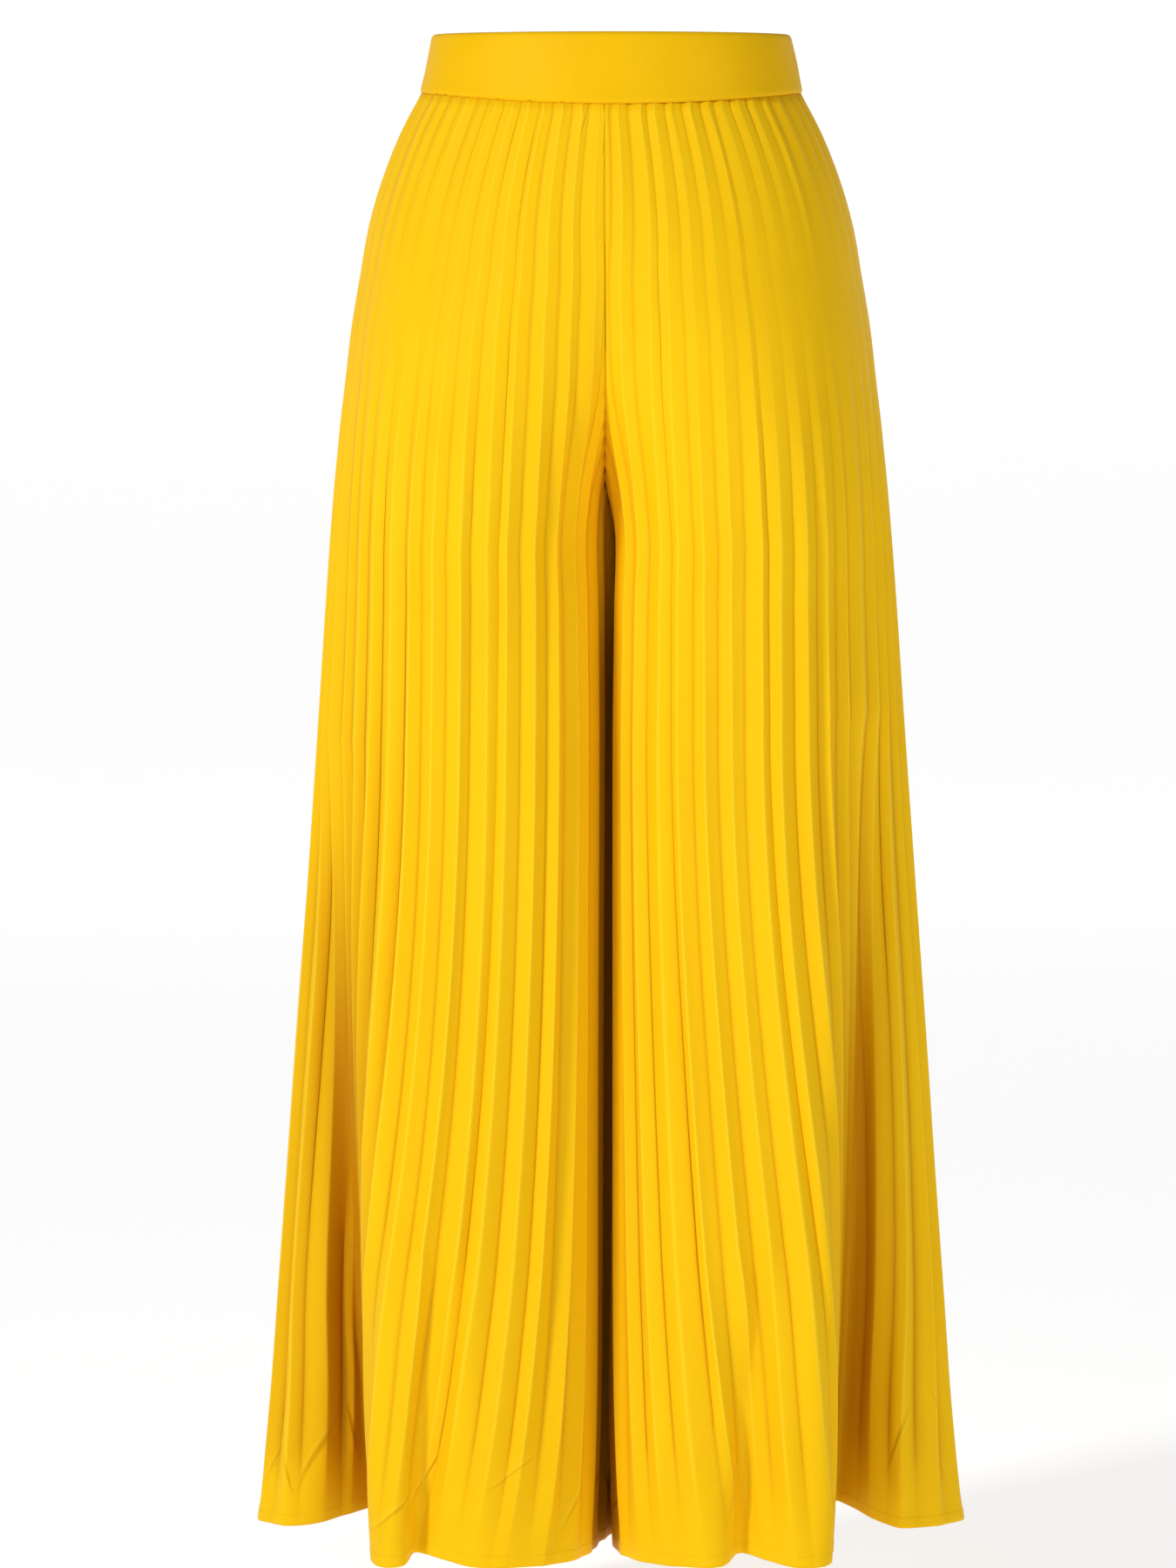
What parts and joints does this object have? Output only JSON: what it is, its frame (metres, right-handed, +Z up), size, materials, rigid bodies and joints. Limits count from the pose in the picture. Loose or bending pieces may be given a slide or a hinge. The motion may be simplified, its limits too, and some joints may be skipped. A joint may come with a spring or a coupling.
{
  "type": "pleated wide-leg trousers",
  "caption": "Yellow pull-on trousers with a plain waistband, fine accordion pleats and very wide flared legs, filled out as if worn.",
  "frame": {"origin": "middle of the waist, half way down the waistband", "axes": "+Z up, the front of the trousers towards -Y, +X to the viewer's right from the front"},
  "size_m": [0.4892, 0.2801, 1.0308],
  "materials": {
    "band_cloth": "smooth yellow polyester knit",
    "pleated_cloth": "smooth yellow polyester, heat-set in sharp pleats, with a faint sheen"
  },
  "bodies": {
    "root": {"waistband_front": "band_cloth", "waistband_back": "band_cloth", "left_front_leg": "pleated_cloth", "right_front_leg": "pleated_cloth", "left_back_leg": "pleated_cloth", "right_back_leg": "pleated_cloth"}
  },
  "joints": []
}
